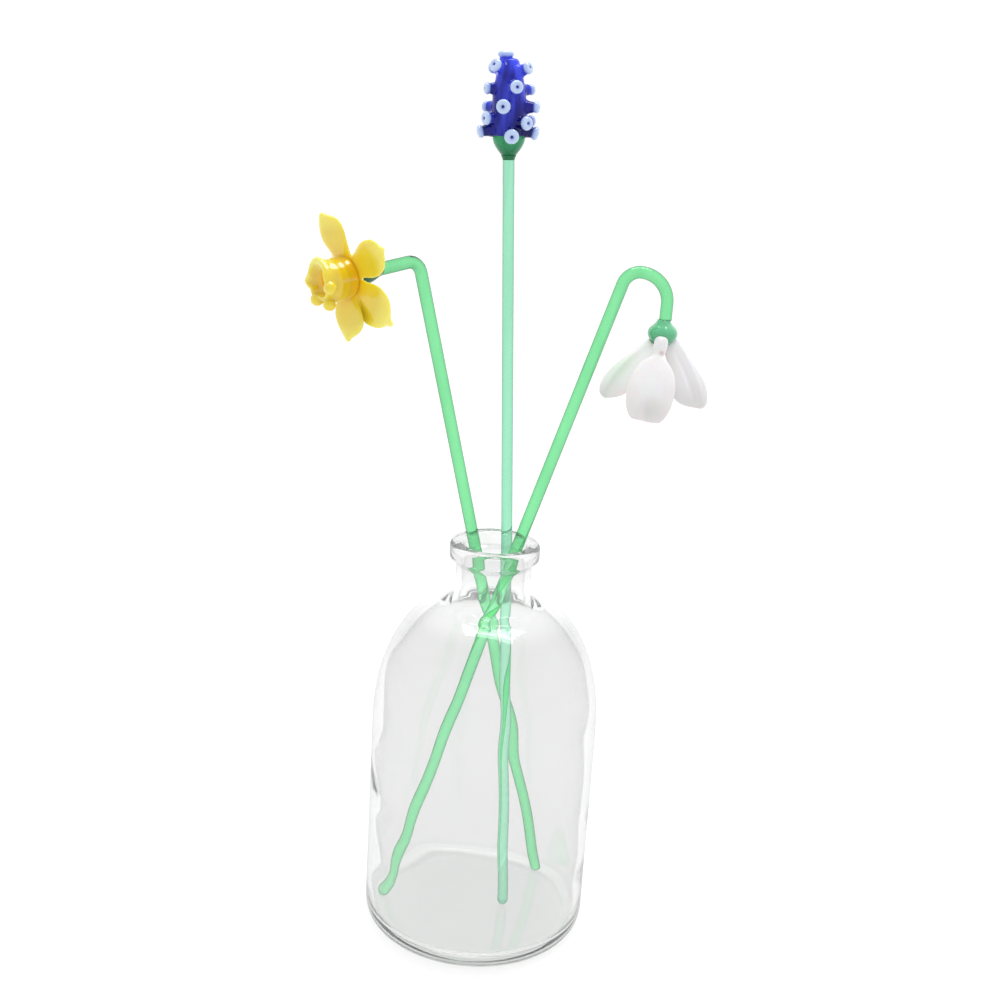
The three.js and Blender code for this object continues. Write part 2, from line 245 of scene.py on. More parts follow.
def drawn(name, edges, arch, sides=16):
    """A petal drawn out along +Y from a ring. Each of its edges is a place along it, its two
    sides there and its half thickness; its middle rises by the arch. Both ends are closed."""
    length = edges[-1][0]
    stations = [
        (v((low + high) / 2, along, arch * math.sin(math.pi * along / length)),
         (high - low) / 2, thick)
        for along, low, high, thick in edges
    ]
    (centre, wide, thick) = stations[0]
    deselect()
    bpy.ops.mesh.primitive_circle_add(
        vertices=sides, radius=MM, fill_type="NGON", rotation=(math.pi / 2, 0, 0),
    )
    piece = named(name)
    bpy.ops.object.transform_apply(location=True, rotation=True, scale=True)
    bpy.ops.object.mode_set(mode="EDIT")
    bpy.ops.mesh.select_mode(type="VERT")
    bpy.ops.mesh.select_all(action="SELECT")
    bpy.ops.transform.resize(value=(wide, 1, thick), center_override=(0, 0, 0))
    bpy.ops.transform.translate(value=centre * MM)
    for (here, w0, t0), (there, w1, t1) in zip(stations, stations[1:]):
        step = (there - here) * MM
        bpy.ops.mesh.extrude_region_move(TRANSFORM_OT_translate={"value": step})
        bpy.ops.transform.resize(value=(w1 / w0, 1, t1 / t0), center_override=there * MM)
    bpy.ops.mesh.select_all(action="SELECT")
    bpy.ops.mesh.normals_make_consistent(inside=False)
    deselect()
    modify(piece, "SUBSURF", levels=2, render_levels=2)
    return smooth(piece)


def dished(piece, ridge, half_width, fall):
    """Bends a petal about its ridge: its surface falls by `fall` at this distance from it."""
    for vertex in piece.data.vertices:
        vertex.co.z -= fall * MM * ((vertex.co.x / MM - ridge) / half_width) ** 2
    return piece


def creased(piece, start, end, width, depth):
    """Presses a crease into a petal, from one (x, y) to another, fading at both ends."""
    start, end = Vector(start), Vector(end)
    way = end - start
    for vertex in piece.data.vertices:
        spot = vertex.co.xy / MM - start
        share = spot.dot(way) / way.length_squared
        if 0 < share < 1:
            aside = abs(spot.cross(way.normalized())) / width
            vertex.co.z -= depth * MM * math.sin(math.pi * share) * math.exp(-aside * aside)
    return piece


def bead(name, radii):
    """A melted bead: a ball with these three radii."""
    deselect()
    bpy.ops.mesh.primitive_uv_sphere_add(segments=24, ring_count=16, radius=MM, scale=radii)
    piece = named(name)
    bpy.ops.object.transform_apply(location=True, rotation=True, scale=True)
    return smooth(piece)


def melted(name, pieces, grain, softness):
    """Pieces joined and melted into one skin, with a grain in millimetres."""
    pick(*pieces)
    bpy.ops.object.join()
    whole = named(name)
    modify(whole, "REMESH", mode="VOXEL", voxel_size=grain * MM)
    modify(whole, "SMOOTH", factor=0.5, iterations=softness)
    return smooth(whole)


def finish_piece(piece, replaced, material):
    """Hands a piece over: its body, the solid that it stands for and its material."""
    piece.data.materials.clear()
    piece.data.materials.append(material)
    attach(piece, "root")
    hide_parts(replaced)
    return piece


# ---- Shader maths ----

class Value:
    """A value in a node tree; sums and products of it become Math nodes."""

    def __init__(self, nodes, socket):
        self.nodes, self.socket = nodes, socket

    def maths(self, operation, first, second):
        return self.nodes.node("ShaderNodeMath", {"operation": operation}, {0: first, 1: second})

    def __add__(self, other):
        return self.maths("ADD", self, other)

    def __radd__(self, other):
        return self.maths("ADD", other, self)

    def __sub__(self, other):
        return self.maths("SUBTRACT", self, other)

    def __rsub__(self, other):
        return self.maths("SUBTRACT", other, self)

    def __mul__(self, other):
        return self.maths("MULTIPLY", self, other)

    def __rmul__(self, other):
        return self.maths("MULTIPLY", other, self)

    def __truediv__(self, other):
        return self.maths("DIVIDE", self, other)

    def __rtruediv__(self, other):
        return self.maths("DIVIDE", other, self)

    def __pow__(self, other):
        return self.maths("POWER", self, other)

    def most(self, other):
        return self.maths("MAXIMUM", self, other)


class Nodes:
    """A tree of nodes, and the one method that adds a node to it."""

    def __init__(self, tree):
        self.tree = tree

    def node(self, kind, settings=None, inputs=None, out=0):
        """A node of this type: its settings first, then the values or links of its sockets."""
        node = self.tree.nodes.new(kind)
        for key, value in (settings or {}).items():
            if key == "stops":
                self.set_stops(node.color_ramp, value)
            else:
                setattr(node, key, value)
        for key, value in (inputs or {}).items():
            if isinstance(value, Value):
                self.tree.links.new(value.socket, node.inputs[key])
            else:
                node.inputs[key].default_value = value
        return Value(self, node.outputs[out])

    @staticmethod
    def set_stops(ramp, stops):
        while len(ramp.elements) < len(stops):
            ramp.elements.new(1.0)
        for element, (position, colour) in zip(ramp.elements, stops):
            element.position = position
            element.color = colour

    def mix(self, share, first, second):
        settings = {"data_type": "RGBA", "blend_type": "MIX"}
        return self.node("ShaderNodeMix", settings, {0: share, 6: first, 7: second}, out=2)

    def fade(self, value, low, high):
        """0 at `low`, 1 at `high`, smooth between."""
        settings = {"interpolation_type": "SMOOTHSTEP"}
        sockets = {"Value": value, "From Min": low, "From Max": high}
        return self.node("ShaderNodeMapRange", settings, sockets)


class Finish(Nodes):
    """A material with one glass or enamel-like surface, and the nodes that vary it."""

    def __init__(self, name, **fixed):
        self.material = bpy.data.materials.new(name)
        self.material.use_nodes = True
        super().__init__(self.material.node_tree)
        self.tree.nodes.clear()
        self.shader = self.tree.nodes.new("ShaderNodeBsdfPrincipled")
        self.out = self.tree.nodes.new("ShaderNodeOutputMaterial")
        self.tree.links.new(self.shader.outputs[0], self.out.inputs["Surface"])
        for key, value in fixed.items():
            self.shader.inputs[key.replace("_", " ")].default_value = value

    def here(self):
        return self.node("ShaderNodeTexCoord", out="Object")

    def noise(self, scale, detail=2.0, stretch=None):
        at = self.here()
        if stretch:
            at = self.node("ShaderNodeMapping", None, {"Vector": at, "Scale": stretch})
        sockets = {"Vector": at, "Scale": scale, "Detail": detail}
        return self.node("ShaderNodeTexNoise", None, sockets)

    def ramp(self, value, stops):
        return self.node("ShaderNodeValToRGB", {"stops": stops}, {0: value})

    def vector_maths(self, operation, first, second, out):
        settings = {"operation": operation}
        return self.node("ShaderNodeVectorMath", settings, {0: first, 1: second}, out)

    def distance(self, point):
        """Distance from a point of the object, in millimetres."""
        return self.vector_maths("DISTANCE", self.here(), point * MM, "Value") / MM

    def along(self, point, aim):
        """Distance past a point of the object in a direction, in millimetres."""
        offset = self.vector_maths("SUBTRACT", self.here(), point * MM, "Vector")
        return self.vector_maths("DOT_PRODUCT", offset, aim, "Value") / MM

    def rim(self):
        """0 where the glass faces the eye, 1 where it turns away and is looked along; it places
        painted shade and painted sheen on the edges.
        """
        return self.node("ShaderNodeLayerWeight", None, {"Blend": 0.5}, out="Facing")

    def painted_edge_shade(self, share, base):
        """Blends a dull, darker surface in by this share, for glass that is seen edge-on: painted
        shade that draws the glass's dark outlines.
        """
        dull = {"Base Color": base, "Roughness": 0.5, "Specular IOR Level": 0.0}
        # This dull surface is the painted shade of the edges.
        skin = self.node("ShaderNodeBsdfPrincipled", None, dull)
        glass = Value(self, self.shader.outputs[0])
        blend = self.node("ShaderNodeMixShader", None, {0: share, 1: glass, 2: skin})
        self.tree.links.new(blend.socket, self.out.inputs["Surface"])

    def attribute(self, name):
        return self.node("ShaderNodeAttribute", {"attribute_name": name}, out=2)

    def set(self, socket, value):
        self.tree.links.new(value.socket, self.shader.inputs[socket])

    def bump(self, height, depth):
        """Relief of the surface: `depth` in millimetres for a height from 0 to 1."""
        sockets = {"Height": height, "Distance": depth * MM}
        self.set("Normal", self.node("ShaderNodeBump", None, sockets))


def colour(red, green, blue):
    """A colour as the eye sees it, from 0 to 255, in light values."""
    return tuple(
        part / 12.92 if part <= 0.04045 else ((part + 0.055) / 1.055) ** 2.4
        for part in (red / 255, green / 255, blue / 255)
    ) + (1.0,)


# ---- Materials ----

def clear_glass():
    """Moulded bottle glass: clear, a little grey but for its floor and neck, gently rippled. The
    clearer floor and neck are painted light that lifts the shade seen through them; its edges
    carry painted shade, weaker at the neck.
    """
    finish = Finish("clear_bottle_glass", Roughness=0.0, IOR=1.5, Transmission_Weight=1.0)
    height = finish.along(v(0, 0, 0), UP)
    # Painted light: the floor and the neck are tinted clearer than the grey body.
    low = 1 - finish.fade(height, BOTTLE_FLOOR + 0.1, BOTTLE_FLOOR + 1.8)
    neck = finish.fade(height, 119.0, 124.0) * (1 - finish.fade(height, 132.0, 138.0))
    body = finish.mix(low, (0.835, 0.838, 0.836, 1), (0.98, 1.0, 0.985, 1))
    body = finish.mix(neck, body, (0.97, 0.975, 0.972, 1))
    finish.set("Base Color", body)
    # Painted shade on the edges seen edge-on, weaker at the neck.
    finish.painted_edge_shade(finish.rim() ** 5 * (0.55 - neck * 0.35), (0.36, 0.38, 0.37, 1))
    ripple = finish.noise(38.0, detail=1.0, stretch=(1, 1, 0.35))
    finish.bump(ripple, 0.12)
    return finish.material


def rod_glass(name, tint, deep, painted_light_tint):
    """Transparent green rod glass, drawn out, so its fine streaks run along it; inside the
    bottle it is painted a lighter green, painted light that makes up for what the bottle's
    walls take away. Its edges carry painted shade."""
    finish = Finish(name, Roughness=0.01, IOR=1.5, Transmission_Weight=1.0)
    streak = finish.noise(220.0, detail=2.0, stretch=(1, 1, 0.06))
    body = finish.mix(finish.fade(streak, 0.3, 0.75), tint, deep)
    # Painted light: a lighter green below the bottle's mouth.
    painted_light_inside = 1 - finish.fade(finish.along(v(0, 0, 0), UP), 128.0, 146.0)
    finish.set("Base Color", finish.mix(painted_light_inside * 0.9, body, painted_light_tint))
    # Painted shade: darker green where the rod is seen edge-on.
    finish.painted_edge_shade(finish.rim() ** 2.0 * 0.85, colour(18, 84, 48))
    finish.bump(streak, 0.05)
    return finish.material


def yellow_glass():
    """Petals: pale at the tips, warm yellow along the middle, golden where they meet. The gold
    there is brightened as painted light against the shade at the hub, and where a petal is
    seen edge-on it is paler, a painted sheen.
    """
    finish = Finish(
        "yellow_petal_glass", IOR=1.5, Subsurface_Weight=0.5, Subsurface_Scale=0.003,
        Subsurface_Radius=(1.0, 0.8, 0.2), Coat_Weight=0.6, Coat_Roughness=0.03,
    )
    reach = finish.distance(HUB)
    cloud = finish.noise(160.0, detail=3.0) * 2 - 1
    # The first, golden stop is brightened as painted light against the shade at the hub.
    tint = finish.ramp((reach + cloud) / 24, [
        (0.20, colour(246, 204, 6)), (0.36, colour(227, 202, 22)),
        (0.62, colour(216, 197, 42)), (0.82, colour(226, 215, 84)),
        (0.97, colour(236, 231, 134)),
    ])
    # Painted sheen: paler where the petal is seen edge-on.
    tint = finish.mix(finish.rim() ** 3 * 0.6, tint, colour(243, 240, 164))
    finish.set("Base Color", tint)
    finish.set("Roughness", finish.noise(90.0) * 0.15 + 0.12)
    finish.bump(finish.noise(120.0, detail=2.0), 0.25)
    return finish.material


def amber_glass():
    """The trumpet: amber at its foot, yellow at its lip, pale above and golden in its mouth. The
    pale top is painted light from above; the gold of the mouth is brightened as painted light
    against the shade inside it; where it is seen edge-on it is paler, a painted sheen.
    """
    finish = Finish(
        "amber_trumpet_glass", IOR=1.5, Subsurface_Weight=0.6, Subsurface_Scale=0.004,
        Subsurface_Radius=(1.0, 0.86, 0.15), Coat_Weight=0.8, Coat_Roughness=0.02,
    )
    past = finish.along(HUB, DAFFODIL_AIM)
    across = (finish.distance(HUB) ** 2 - past * past).most(0.0) ** 0.5
    cloud = finish.noise(200.0, detail=2.0) * 0.8 - 0.4
    shell = finish.ramp((past + cloud) / 14, [
        (0.12, colour(236, 178, 2)), (0.35, colour(217, 179, 6)),
        (0.62, colour(219, 190, 21)), (0.9, colour(218, 198, 36)),
    ])
    # Painted light: paler on the upper side of the lip, where the light from above falls.
    above = finish.fade(finish.along(HUB, DAFFODIL_UP), 1.0, 6.5)
    pale = above * finish.fade(past, 6.0, 10.0) * finish.fade(across, 4.6, 6.2)
    shell = finish.mix(pale, shell, colour(214, 211, 94))
    # The mouth's gold, brightened as painted light against the shade inside it.
    throat = (1 - finish.fade(across, 1.4, 4.2)) * finish.fade(past, 4.0, 7.0)
    tint = finish.mix(throat, shell, colour(250, 204, 14))
    # Painted sheen: paler where the trumpet is seen edge-on.
    finish.set("Base Color", finish.mix(finish.rim() ** 3 * 0.5, tint, colour(243, 238, 150)))
    finish.set("Roughness", finish.noise(90.0) * 0.1 + 0.08)
    finish.bump(finish.noise(260.0, detail=1.0), 0.12)
    return finish.material


def green_glass(name, light, dark, centre, aim, low, high, gloss=0.4):
    """Milky green glass, its colour running from one tint to another along an axis: painted
    shade, darker on the side that gets less light.
    """
    finish = Finish(
        name, IOR=1.5, Specular_IOR_Level=gloss / 2, Subsurface_Weight=0.2,
        Subsurface_Scale=0.0015, Coat_Weight=gloss, Coat_Roughness=0.02,
    )
    past = finish.along(centre, aim) + finish.noise(260.0, detail=2.0) * 2 - 1
    finish.set("Base Color", finish.mix(finish.fade(past, low, high), light, dark))
    finish.set("Roughness", finish.noise(120.0) * 0.1 + 0.08)
    finish.bump(finish.noise(300.0, detail=1.0), 0.08)
    return finish.material


def cobalt_glass():
    """The blue head: dark blue where it starts, bright blue at its top, and cloudy."""
    finish = Finish(
        "cobalt_glass", IOR=1.5, Specular_IOR_Level=0.1, Coat_Weight=0.4, Coat_Roughness=0.02,
    )
    cloud = finish.noise(230.0, detail=2.0, stretch=(1, 1, 0.25))
    height = finish.along(MUSCARI_TOP, MUSCARI_AIM) / 36
    tint = finish.ramp(height + (cloud * 1.5 - 0.75), [
        (0.1, colour(6, 8, 84)), (0.5, colour(12, 18, 134)), (0.9, colour(62, 76, 228)),
    ])
    finish.set("Base Color", tint)
    finish.set("Roughness", finish.noise(120.0) * 0.12 + 0.1)
    finish.bump(finish.noise(240.0, detail=2.0), 0.2)
    return finish.material


def floret_glass():
    """A floret: cobalt at its root, pale blue at its mouth, dark in the pinhole."""
    finish = Finish("floret_glass", IOR=1.5, Coat_Weight=0.8, Coat_Roughness=0.03)
    along = finish.attribute("along") + (finish.noise(400.0, detail=2.0) * 0.06 - 0.03)
    tint = finish.ramp(along, [
        (0.0, colour(104, 122, 212)), (0.2, colour(150, 172, 228)),
        (0.55, colour(184, 204, 236)), (0.72, colour(170, 190, 232)),
        (0.84, colour(104, 118, 206)), (0.92, colour(20, 22, 120)),
    ])
    finish.set("Base Color", tint)
    finish.set("Roughness", finish.noise(150.0) * 0.1 + 0.14)
    finish.bump(finish.noise(500.0, detail=1.0), 0.06)
    return finish.material


def white_glass(name, level, blush=None, stains_and_shade=()):
    """Milk white glass of this level, from 0 to 255, with faint clouds; the petals' levels differ
    as painted shade, and the glass is greyer low down, painted shade too. Where the petal has them,
    a blush of green and small marks: a real stain and patches of painted shade."""
    finish = Finish(
        name, IOR=1.5, Subsurface_Weight=0.3, Subsurface_Scale=0.002, Coat_Weight=0.3,
        Coat_Roughness=0.15,
    )
    cloud = finish.noise(110.0, detail=3.0)
    # Painted shade: greyer low down, lighter higher up.
    high = finish.mix(cloud, colour(level, level + 1, level + 3), colour(*[level - 12] * 3))
    low = finish.mix(cloud, colour(*[level - 10] * 3), colour(*[level - 24] * 3))
    height = finish.along(v(50, -5, 200), UP)
    tint = finish.mix(finish.fade(height, 3.0, 17.0), low, high)
    if blush:
        at, reach, strength = blush
        near = (1 - finish.fade(finish.distance(at), 0.0, reach)) * strength
        tint = finish.mix(near, tint, colour(204, 228, 206))
    # Each mark is a real stain or a patch of painted shade.
    for at, reach, strength, shade in stains_and_shade:
        near = (1 - finish.fade(finish.distance(at), 0.1 * reach, reach)) * strength
        tint = finish.mix(near, tint, shade)
    finish.set("Base Color", tint)
    finish.set("Roughness", finish.noise(90.0) * 0.15 + 0.3)
    finish.bump(finish.noise(200.0, detail=2.0), 0.12)
    return finish.material


# ---- Bottle ----

WAVES = [                             # of the inside: height in mm, waves round, phase, depth
    (46.0, 2, 0.4, 0.16), (29.0, 3, 2.1, 0.17), (63.0, 1, 4.4, 0.2), (21.0, 4, 1.2, 0.07),
]
WAVES_START, WAVES_END = 10, SHOULDER_TOP - 6


def bottle_outline():
    inner = BOTTLE_RADIUS - BOTTLE_WALL
    wide, high = BOTTLE_RADIUS - SHOULDER_INNER, SHOULDER_TOP - SHOULDER_START
    lip_foot = BOTTLE_HEIGHT - LIP_HEIGHT
    corner = inner - FLOOR_RADIUS
    outside = [
        (0, 0), (12, 0), (24, 0), (FOOT_RADIUS - 1, 0),
        *arc(FOOT_RADIUS, HEEL_HEIGHT, BOTTLE_RADIUS - FOOT_RADIUS, HEEL_HEIGHT, -90, 0, 10),
        *[(BOTTLE_RADIUS, z) for z in range(14, 80, 6)],
        *arc(SHOULDER_INNER, SHOULDER_START, wide, high, 0, 78, 30),
        *arc(NECK_RADIUS + 5.5, SHOULDER_TOP + 5.6, 5.5, 6.2, -115, -180, 8),
        (NECK_RADIUS, NECK_START + 2), (NECK_RADIUS, lip_foot - 2),
    ]
    lip = [
        (NECK_RADIUS + 0.15, lip_foot - 1.2), (NECK_RADIUS + 0.8, lip_foot - 0.3),
        *arc(LIP_RADIUS - 1.1, lip_foot + 1.7, 1.1, 1.5, -60, 0, 5),
        *arc(LIP_RADIUS - 1.5, BOTTLE_HEIGHT - 1.5, 1.5, 1.5, 0, 90, 7),
    ]
    inside = [
        *arc(BORE_RADIUS + 1.6, BOTTLE_HEIGHT - 1.6, 1.6, 1.6, 100, 180, 5),
        (BORE_RADIUS, NECK_START + 6), (BORE_RADIUS, NECK_START - 1),
        (BORE_RADIUS + 0.5, SHOULDER_TOP + 1.5),
        *arc(SHOULDER_INNER - BOTTLE_WALL, SHOULDER_START, wide, high - BOTTLE_WALL, 80, 0, 30),
        *[(inner, z) for z in range(75, 12, -5)],
        *arc(FLOOR_RADIUS, BOTTLE_FLOOR + corner, corner, corner, 0, -90, 8),
        (FLOOR_RADIUS - 1, BOTTLE_FLOOR), (24, BOTTLE_FLOOR), (12, BOTTLE_FLOOR),
        (0, BOTTLE_FLOOR),
    ]
    return outside + lip + inside


def outer_radius(height):
    rise = max(0.0, (height - SHOULDER_START) / (SHOULDER_TOP - SHOULDER_START))
    return SHOULDER_INNER + (BOTTLE_RADIUS - SHOULDER_INNER) * math.sqrt(max(0.0, 1 - rise ** 2))


def ripple_inside(piece):
    """The mould leaves the inside wavy, which bends what is seen through the wall."""
    for vertex in piece.data.vertices:
        x, y, z = vertex.co / MM
        radius, turn = math.hypot(x, y), math.atan2(y, x)
        if not WAVES_START < z < WAVES_END or radius > outer_radius(z) - BOTTLE_WALL / 2:
            continue
        wave = sum(
            depth * math.sin(2 * math.pi * z / height + rounds * turn + phase)
            for height, rounds, phase, depth in WAVES
        )
        ease = min(1.0, (z - WAVES_START) / 20, (WAVES_END - z) / 16)
        vertex.co.x += wave * ease * x / radius * MM
        vertex.co.y += wave * ease * y / radius * MM


def make_bottle():
    piece = turned("bottle_glass", bottle_outline(), sides=128)
    ripple_inside(piece)
    smooth(piece)
    finish_piece(piece, "bottle", clear_glass())


# ---- Daffodil ----

def daffodil_at(distance):
    return DAFFODIL_CORNER + DAFFODIL_AIM * distance


FLOWER = standing(HUB, DAFFODIL_AIM, DAFFODIL_UP)

# Each petal: its turn from the upright one, its forward cup, its arch and its dish, and its
# edges: distance from the hub, its two sides there and its half thickness
DAFFODIL_PETALS = [
    (2, 6, 0.4, -0.4, [
        (1, -2.6, 3.6, 0.8), (4, -2.6, 5.4, 0.9), (7, -2.6, 5.9, 0.9), (9.7, -3.6, 6.6, 0.9),
        (12, -4.6, 7.3, 0.9), (14.2, -4.8, 7.6, 0.85), (16.2, -4.5, 7.1, 0.85),
        (17.8, -3.9, 5.8, 0.85), (19, -3.3, 3.4, 0.8), (19.8, -2.6, 1.1, 0.8),
        (20.5, -2.1, 0.4, 0.85), (21, -1.5, -0.2, 0.5),
    ]),
    (84, 2, 0.4, -0.5, [
        (1, -3.0, 2.8, 0.8), (4, -4.2, 3.2, 0.9), (6.5, -4.8, 3.3, 0.9), (8.6, -5.2, 3.8, 0.9),
        (10.6, -6.1, 4.9, 0.9), (12.7, -6.6, 5.5, 0.85), (14.9, -6.5, 5.9, 0.85),
        (16.8, -5.9, 5.5, 0.85), (18.3, -5.0, 4.6, 0.85), (19.2, -3.6, 3.0, 0.8),
        (19.7, -2.3, 0.7, 0.8), (20.3, -1.8, 0.1, 0.8), (20.8, -1.3, -0.4, 0.5),
    ]),
    (144, 0, 0.4, -0.4, [
        (1, -2.8, 2.8, 0.8), (4, -3.3, 3.9, 0.9), (7, -4.0, 5.5, 0.9), (9, -5.2, 6.9, 0.9),
        (11, -6.3, 7.9, 0.9), (13.4, -7.2, 8.1, 0.85), (15.6, -7.2, 7.5, 0.85),
        (17.4, -6.5, 6.7, 0.85), (18.8, -5.3, 5.7, 0.85), (19.9, -3.5, 4.4, 0.8),
        (20.7, -0.9, 3.2, 0.8), (21.3, 0.1, 2.4, 0.85), (22.2, 0.1, 2.3, 0.9),
        (22.8, 0.7, 1.6, 0.5),
    ]),
    (195, 10, 0.4, -0.4, [
        (1, -2.8, 2.8, 0.8), (4, -3.6, 3.8, 0.9), (7, -4.8, 5.2, 0.9), (9, -6.0, 6.1, 0.9),
        (10.8, -7.2, 6.4, 0.9), (12.6, -8.0, 6.2, 0.85), (14.3, -8.1, 5.6, 0.85),
        (16, -7.1, 4.8, 0.85), (17.4, -5.2, 3.7, 0.85), (18.4, -2.5, 2.9, 0.8),
        (19.1, -0.6, 2.2, 0.8), (19.7, 0.0, 1.9, 0.8), (20.1, 0.6, 1.3, 0.5),
    ]),
    (246, -22, 0.5, -0.8, []), (311, -26, 0.5, -0.8, []),
]
# The two petals at the back have the plain shape of the others
BACK_EDGES = [
    (1, -2.7, 2.7, 0.8), (4, -3.2, 3.2, 0.9), (7, -4.4, 4.4, 0.9), (10, -5.6, 5.6, 0.9),
    (13, -6.1, 6.1, 0.85), (15.5, -5.4, 5.4, 0.85), (17.5, -3.6, 3.6, 0.85),
    (18.8, -1.7, 1.7, 0.8), (19.6, -1.2, 1.2, 0.85), (20.2, -0.5, 0.5, 0.5),
]


def daffodil_petal(number, turn, cup, arch, dish, edges):
    petal = drawn(f"petal_{number}", edges or BACK_EDGES, arch, sides=14)
    dished(petal, 0, 6, dish)
    tilt = Matrix.Rotation(math.radians(cup), 4, "X")
    spin = Matrix.Rotation(math.radians(-turn), 4, "Z")
    return place(petal, FLOWER @ spin @ tilt)


def make_daffodil_petals():
    hub = turned("petal_hub", [(0, -1.2), *arc(4.6, 0, 1.9, 1.2, -90, 90, 8), (0, 1.2)], 32)
    place(hub, FLOWER)
    petals = [daffodil_petal(i, *spread) for i, spread in enumerate(DAFFODIL_PETALS, 1)]
    whole = melted("daffodil_petals_glass", [hub, *petals], grain=0.26, softness=7)
    finish_piece(whole, "daffodil_petals", yellow_glass())


RIBS, RIB_DEPTH = 3, 0.07
MOUTH_THROAT, THROAT_DEPTH = 2.4, 4.4
TRUMPET_FOOT = 1.0
TRUMPET_TOP = TRUMPET_FOOT + TRUMPET_LENGTH - 0.8
# How the mouth's lip runs out of round: turn, spread in degrees and reach in millimetres
LIP_WAVES = [
    (4, 30, 1.3), (-38, 12, -0.3), (-70, 13, 2.0), (-96, 10, -1.3), (-150, 22, -1.4),
    (160, 30, -1.2), (100, 40, -0.9),
]
# How its near side runs forward: turn, spread in degrees and length in millimetres
LIP_FRONT = (88, 42, 1.6)
# Where it starts to move, below the mouth and from the axis, and over what distances
LIP_BELOW, LIP_RISE, LIP_INSIDE, LIP_SPAN = 3.2, 2.4, 3.4, 2.0
LIP_FOLD = 0.35                       # how far back it folds for each millimetre of reach
# Melted beads on the lip: turn, distance from the axis, height past the mouth and radius
LIP_BEADS = [
    (120, 5.5, 1.5, 2.1), (-132, 6.0, 0.4, 2.1), (179, 7.0, 0.2, 2.0),
]


def trumpet_outline():
    pitch = (TRUMPET_LENGTH - 3.4) / RIBS
    steps = [i / 8 for i in range(8 * RIBS + 1)]
    ribs = [
        (TRUMPET_RADIUS - RIB_DEPTH * math.cos(2 * math.pi * i), TRUMPET_FOOT + 0.5 + pitch * i)
        for i in steps
    ]
    return [
        (0, TRUMPET_FOOT), (TRUMPET_RADIUS - 1.4, TRUMPET_FOOT), *ribs,
        *arc(TRUMPET_RADIUS - 1.1, TRUMPET_TOP - 1.2, 1.2, 1.3, -20, 120, 8),
        (5.0, TRUMPET_TOP - 0.2), (4.2, TRUMPET_TOP - 0.9), (3.5, TRUMPET_TOP - 1.8),
        (MOUTH_THROAT, TRUMPET_TOP - 2.8), (MOUTH_THROAT * 0.8, TRUMPET_TOP - 4),
        (MOUTH_THROAT * 0.4, TRUMPET_TOP - THROAT_DEPTH),
        (0, TRUMPET_TOP - THROAT_DEPTH - 0.3),
    ]


def swell(turn, middle, spread, height):
    """A swelling of this height about one turn, fading away on both sides, in degrees."""
    off = (turn - middle + 180) % 360 - 180
    return height * math.exp(-(off / spread) ** 2)


def wave_lip(cup):
    """Draws the lip of the mouth out of round and lets its high places fold outward."""
    for vertex in cup.data.vertices:
        radius = math.hypot(vertex.co.x, vertex.co.y) / MM
        ease = min(1.0, max(0.0, (vertex.co.z / MM - TRUMPET_TOP + LIP_BELOW) / LIP_RISE))
        ease *= min(1.0, max(0.0, (radius - LIP_INSIDE) / LIP_SPAN))
        if not ease:
            continue
        turn = math.degrees(math.atan2(vertex.co.x, vertex.co.y))
        reach = sum(swell(turn, *wave) for wave in LIP_WAVES)
        vertex.co.x *= 1 + ease * reach / radius
        vertex.co.y *= 1 + ease * reach / radius
        vertex.co.z += ease * (swell(turn, *LIP_FRONT) - LIP_FOLD * reach) * MM


def make_trumpet():
    cup = turned("trumpet_cup", trumpet_outline(), 72)
    wave_lip(cup)
    beads = []
    for i, (turn, ring, height, radius) in enumerate(LIP_BEADS, 1):
        spin = Matrix.Rotation(math.radians(-turn), 4, "Z")
        at = Matrix.Translation(v(0, ring, TRUMPET_TOP - 1 + height))
        beads.append(place(bead(f"lip_bead_{i}", (radius, radius, radius)), spin @ at))
    whole = melted("daffodil_trumpet_glass", [cup, *beads], grain=0.2, softness=12)
    place(whole, FLOWER)
    finish_piece(whole, "daffodil_trumpet", amber_glass())


def make_calyx():
    length = PETAL_PLANE - STEM_END - 1.4
    calyx = turned("daffodil_calyx_glass", [
        (0, 1.2), (DAFFODIL_ROD / 2 + 0.08, 1.2), (2.3, 2.0), (2.6, 3.0), (3.0, 4.2),
        (3.4, 5.6), (3.7, 7.4), (3.8, 9.6), (3.6, length - 1), (2.8, length), (0, length + 0.2),
    ], 40)
    place(calyx, standing(daffodil_at(STEM_END), DAFFODIL_AIM, DAFFODIL_UP))
    # Painted shade: darker towards the petals, which shade the calyx.
    shade = green_glass(
        "calyx_green_glass", colour(26, 116, 70), colour(10, 84, 44), daffodil_at(STEM_END),
        DAFFODIL_AIM, 0.5, 7.0,
    )
    finish_piece(calyx, "daffodil_calyx", shade)


def make_daffodil_stem():
    end = daffodil_at(STEM_END)
    points = [
        foot_of(DAFFODIL_FOOT, DAFFODIL_ROD), DAFFODIL_MOUTH,
        *around(DAFFODIL_MOUTH, DAFFODIL_CORNER, end, DAFFODIL_BEND), daffodil_at(STEM_END + 3),
    ]
    stem = rod("daffodil_rod", DAFFODIL_ROD, points)
    finish_piece(stem, "daffodil_stem", SPRING_GREEN)


# ---- Grape hyacinth ----

HEAD = standing(MUSCARI_TOP, MUSCARI_AIM, v(0, 1, 0))
CUP_HEIGHT = 7.4
BODY = [
    (5.45, 7.6), (5.7, 10), (5.8, 13), (5.8, 17), (5.6, 20.5), (4.9, 25), (4.2, 28.5), (3.3, 31),
]
STUB_RADIUS, STUB_REACH, RING_RADIUS, RING_LENGTH = 1.85, 2.1, 2.4, 2.15
